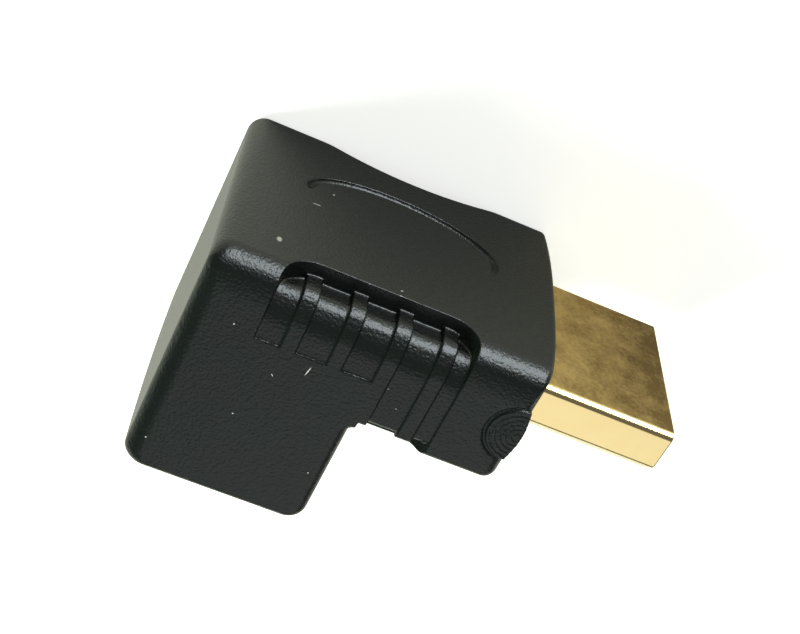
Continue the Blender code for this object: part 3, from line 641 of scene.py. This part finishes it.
# Dust: a few pale specks and short fibres that lie on it, and painted glints, pale specks along
# the pocket's rim and on the rounded back edge near the heel; each as (place, half length,
# thickness, direction) in millimetres
specks_and_glints = [((-12.77, 9.23, 15.86), 0.17, 0.13, (1, 0, 0)),
        ((-10.82, 9.23, 9.78), 0.29, 0.03, (1, 0, -0.07)),
        ((-9.79, 9.23, 7.61), 0.06, 0.05, (1, 0, 0)),
        ((-7.99, 3.16, 19.7), 0.35, 0.035, (0.14, 0.68, 0)),
        ((-13.54, 4.54, 19.7), 0.05, 0.05, (1, 0, 0)),
        # Painted glint: a pale streak on the pocket's rim
        ((-4.24, 9.23, 16.87), 0.16, 0.03, (0.28, 0, 0.16)),
        ((-4.27, 9.23, 16.23), 0.07, 0.05, (1, 0, 1)),
        ((-15.77, -6.48, 19.7), 0.05, 0.05, (1, 0, 0)),
        ((-2.79, 4.04, 19.7), 0.06, 0.05, (1, 1, 0)),
        ((-1.69, 2.80, 19.7), 0.07, 0.05, (1, 0, 0)),
        # These three are painted glints along the pocket's rim
        ((-6.80, 9.20, 17.45), 0.12, 0.06, (1, 0, 0)),
        ((-6.46, 9.20, 16.89), 0.05, 0.04, (0, 0, 1)),
        ((-7.69, 9.20, 17.03), 0.06, 0.05, (1, 0, 0)),
        ((-9.97, 1.90, 19.7), 0.10, 0.03, (1, -1, 0)),
        # Painted glint on the rounded back edge
        ((-15.51, 9.2, 18.87), 0.06, 0.06, (1, 0, 0)),
        # Painted glint at the pocket's rim
        ((-0.6, 9.2, 17.0), 0.08, 0.05, (1, 0, 0)),
        ((-4.9, -4.6, 19.7), 0.07, 0.03, (1, 1, 0)),
        ((-11.2, -2.1, 19.7), 0.06, 0.04, (1, 0, 0))]
nearest = None
for where, reach, thick, heading in specks_and_glints:
    turn = Vector(heading).to_track_quat("X", "Z").to_euler()
    local = add_node(tree, "ShaderNodeMapping",
                     {"vector_type": "TEXTURE", "Location": Vector(where) * MM, "Rotation": turn,
                      "Scale": (reach * MM, thick * MM, thick * 2 * MM)},
                     Vector=coords.outputs["Object"])
    away = add_node(tree, "ShaderNodeVectorMath", {"operation": "LENGTH"},
                    i0=local.outputs[0]).outputs["Value"]
    nearest = away if nearest is None else add_node(
        tree, "ShaderNodeMath", {"operation": "MINIMUM"}, i0=nearest, i1=away).outputs[0]
# Pale where dust lies and where a glint is painted
dust_and_glints = add_node(tree, "ShaderNodeMapRange", {"From Min": 1.2, "From Max": 0.8}, Value=nearest)
# The black takes a slightly warmer or greener tone from place to place, over a few millimetres
tones = noise(tree, coords.outputs["Object"], 3.0, 3.0)
black = blend(tree, "0e120f", "091712", tones.outputs["Fac"])
surface = add_node(tree, "ShaderNodeMix", {"data_type": "RGBA", 7: linear("d6d7d0")},
                   i0=dust_and_glints.outputs[0], i6=black)
tree.links.new(surface.outputs[2], shader.inputs["Base Color"])
shader.inputs["Roughness"].default_value = 0.35
shader.inputs["Specular IOR Level"].default_value = 0.45
shader.inputs["IOR"].default_value = 1.5
moulded_body.data.materials.append(black_pvc)


# Plug shell and socket shell: sheet steel folded round each connector with a seam underneath,
# nickel plated and flashed with gold.

SHEET = 0.3
LIP_RADIUS = 0.14
SEAM_HALF_WIDTH = 0.05
SEAM_DEPTH = 0.14
SEAM_PAST = 9.0
# The section's path from the rear along the outside, round the lip and back along the inside, as
# (x, how much larger than the plug's outline)
folds = [(PLUG_REAR, 0.0), (PLUG_TIP - LIP_RADIUS, 0.0)]
folds += [(PLUG_TIP - LIP_RADIUS + LIP_RADIUS * math.sin(turn),
           -LIP_RADIUS + LIP_RADIUS * math.cos(turn))
          for turn in (math.radians(22.5), math.radians(45.0), math.radians(67.5),
                       math.radians(90.0))]
folds += [(PLUG_TIP, -SHEET), (PLUG_REAR, -SHEET)]
folded_plug_shell = skin("folded_plug_shell", [[spot(x, down, across)
                                                for down, across in plug_outline(grow)]
                                               for x, grow in folds], joined=True)
seam_floor = PLUG_BACK_DROP + PLUG_HEIGHT - SEAM_DEPTH
carve(folded_plug_shell, slab("seam", [(seam_floor, MIDDLE - SEAM_HALF_WIDTH),
                                       (SEAM_PAST, MIDDLE - SEAM_HALF_WIDTH),
                                       (SEAM_PAST, MIDDLE + SEAM_HALF_WIDTH),
                                       (seam_floor, MIDDLE + SEAM_HALF_WIDTH)],
                              "x", PLUG_REAR - PAST, FAR))
pick(folded_plug_shell)
bpy.ops.object.shade_smooth_by_angle(angle=math.radians(32.0))
even = folded_plug_shell.modifiers.new("even normals", "WEIGHTED_NORMAL")
even.keep_sharp = True
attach(folded_plug_shell, "root")
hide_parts("plug_shell")


def dress(piece, material):
    """Gives a piece one material in place of what it has."""
    piece.data.materials.clear()
    piece.data.materials.append(material)


# Gold flash on steel: bright pale gold on the sides; on the wide face a painted shade, dull brown
# with fine mottling, for the darker surroundings that it reflects, and darker towards the tip
gold_flash, tree, shader = new_material("gold flash on folded steel")
coords = add_node(tree, "ShaderNodeTexCoord")
facing = add_node(tree, "ShaderNodeSeparateXYZ", {}, i0=coords.outputs["Normal"])
place = add_node(tree, "ShaderNodeSeparateXYZ", {}, i0=coords.outputs["Object"])
# The wide face, which takes the painted shade and a duller finish
wide_face = add_node(tree, "ShaderNodeMapRange",
                     {"interpolation_type": "SMOOTHSTEP", "From Min": 0.93, "From Max": 0.995},
                     Value=facing.outputs["Y"])
clouds = noise(tree, coords.outputs["Object"], 2.4, 3.0, 0.6)
mottle = noise(tree, coords.outputs["Object"], 0.3, 3.0, 0.7)
# Painted shade that deepens from the root towards the tip
along = add_node(tree, "ShaderNodeMapRange",
                 {"From Min": 6.0 * MM, "From Max": 17.0 * MM, "To Min": 0.25, "To Max": -0.25},
                 Value=place.outputs["X"])
shade_level = add_node(tree, "ShaderNodeMath", {"operation": "ADD"},
                   i0=clouds.outputs["Fac"], i1=along.outputs[0])
mottled_shade_level = add_node(tree, "ShaderNodeMath", {"operation": "MULTIPLY_ADD", 1: 0.5},
                        i0=mottle.outputs["Fac"], i2=shade_level.outputs[0])
# The painted shade's dull browns, darkest where the shade is deepest
painted_shade_ramp = add_node(tree, "ShaderNodeValToRGB", {}, i0=mottled_shade_level.outputs[0])
painted_shade_ramp.color_ramp.elements[0].position = 0.45
painted_shade_ramp.color_ramp.elements[0].color = linear("80663a")
painted_shade_ramp.color_ramp.elements[1].position = 1.05
painted_shade_ramp.color_ramp.elements[1].color = linear("d2b272")
# The gold's own pale colour, on every face but the wide one
plain_gold = blend(tree, "ffecb0", "fbdf9c", clouds.outputs["Fac"])
colour = add_node(tree, "ShaderNodeMix", {"data_type": "RGBA"}, i0=wide_face.outputs[0],
                  i6=plain_gold, i7=painted_shade_ramp.outputs[0])
tree.links.new(colour.outputs[2], shader.inputs["Base Color"])
dull = add_node(tree, "ShaderNodeMapRange", {"To Min": 0.17, "To Max": 0.42},
                Value=wide_face.outputs[0])
tree.links.new(dull.outputs[0], shader.inputs["Roughness"])
ripple = add_node(tree, "ShaderNodeBump", {"Strength": 0.6, "Distance": 0.008 * MM},
                  Height=mottle.outputs["Fac"])
tree.links.new(ripple.outputs[0], shader.inputs["Normal"])
shader.inputs["Metallic"].default_value = 1.0
folded_plug_shell.data.materials.append(gold_flash)
dress(nodes["socket_shell"], gold_flash)


# Insulators: the plug's slotted block and the socket's base and tongue, black glass filled nylon,
# with the contacts pressed in after moulding.

# Glass filled nylon: satin black with paler flow streaks and the odd fibre that reaches the skin
black_nylon, tree, shader = new_material("black glass filled nylon")
coords = add_node(tree, "ShaderNodeTexCoord")
streaks = add_node(tree, "ShaderNodeMapping", {"Scale": (0.35, 1.0, 1.0)},
                   Vector=coords.outputs["Object"])
flow = noise(tree, streaks.outputs[0], 0.8, 4.0)
# The real fibres are 0.01 mm thick; drawn at about 0.12 mm so that they show
fibres = noise(tree, streaks.outputs[0], 0.12, 2.0)
tree.links.new(blend(tree, "141416", "26272a", flow.outputs["Fac"]), shader.inputs["Base Color"])
satin = add_node(tree, "ShaderNodeMapRange", {"To Min": 0.38, "To Max": 0.55},
                 Value=fibres.outputs["Fac"])
tree.links.new(satin.outputs[0], shader.inputs["Roughness"])
skin_grain = add_node(tree, "ShaderNodeBump", {"Strength": 0.6, "Distance": 0.01 * MM},
                      Height=fibres.outputs["Fac"])
tree.links.new(skin_grain.outputs[0], shader.inputs["Normal"])
shader.inputs["IOR"].default_value = 1.53
dress(nodes["plug_insulator"], black_nylon)
dress(nodes["socket_insulator"], black_nylon)


# Contacts: nineteen in each connector, stamped from phosphor bronze strip, gold over nickel where
# they touch and soldered to the board at the other end.

# Gold plated strip: bright yellow with fine rolling lines along its length
contact_gold, tree, shader = new_material("gold plated contact strip")
coords = add_node(tree, "ShaderNodeTexCoord")
drawn = add_node(tree, "ShaderNodeMapping", {"Scale": (0.15, 0.15, 1.0)},
                 Vector=coords.outputs["Object"])
# Rolling lines are a few hundredths of a millimetre apart; drawn at 0.06 mm
lines = noise(tree, drawn.outputs[0], 0.06, 2.0)
tone = noise(tree, coords.outputs["Object"], 1.2, 2.0)
tree.links.new(blend(tree, "f3cd84", "e0b464", tone.outputs["Fac"]), shader.inputs["Base Color"])
polish = add_node(tree, "ShaderNodeMapRange", {"To Min": 0.16, "To Max": 0.34},
                  Value=lines.outputs["Fac"])
tree.links.new(polish.outputs[0], shader.inputs["Roughness"])
shader.inputs["Metallic"].default_value = 1.0
for name, node in nodes.items():
    if "contact" in name:
        dress(node, contact_gold)


# Circuit board: the small board that turns the corner and carries both connectors, glass epoxy
# under a green solder mask.

# Solder mask: glossy green over copper, slightly darker where there is no copper, with the glass
# cloth's weave faint in its surface
solder_mask, tree, shader = new_material("green solder mask on glass epoxy")
coords = add_node(tree, "ShaderNodeTexCoord")
patches = add_node(tree, "ShaderNodeTexVoronoi", {"Scale": 1 / (1.6 * MM)},
                   Vector=coords.outputs["Object"])
copper = add_node(tree, "ShaderNodeMath", {"operation": "GREATER_THAN", 1: 0.45},
                  i0=patches.outputs["Distance"])
weave = noise(tree, coords.outputs["Object"], 0.4, 3.0)
tree.links.new(blend(tree, "1d5a35", "2c7a45", copper.outputs[0]), shader.inputs["Base Color"])
gloss = add_node(tree, "ShaderNodeMapRange", {"To Min": 0.22, "To Max": 0.36},
                 Value=weave.outputs["Fac"])
tree.links.new(gloss.outputs[0], shader.inputs["Roughness"])
cloth = add_node(tree, "ShaderNodeBump", {"Strength": 0.5, "Distance": 0.02 * MM},
                 Height=weave.outputs["Fac"])
tree.links.new(cloth.outputs[0], shader.inputs["Normal"])
dress(nodes["circuit_board"], solder_mask)


# Inner mould: the first shot, natural polyethylene round the board and the backs of both
# connectors, which holds them while the black body is moulded.

# Natural polyethylene: milky and waxy, with soft flow marks
natural_polythene, tree, shader = new_material("natural polyethylene")
coords = add_node(tree, "ShaderNodeTexCoord")
flow = noise(tree, coords.outputs["Object"], 3.0, 3.0)
skin_noise = noise(tree, coords.outputs["Object"], 0.3, 2.0)
tree.links.new(blend(tree, "d8d4c4", "e6e3d6", flow.outputs["Fac"]), shader.inputs["Base Color"])
wax = add_node(tree, "ShaderNodeMapRange", {"To Min": 0.4, "To Max": 0.55},
               Value=skin_noise.outputs["Fac"])
tree.links.new(wax.outputs[0], shader.inputs["Roughness"])
shader.inputs["IOR"].default_value = 1.51
dress(nodes["inner_mould"], natural_polythene)
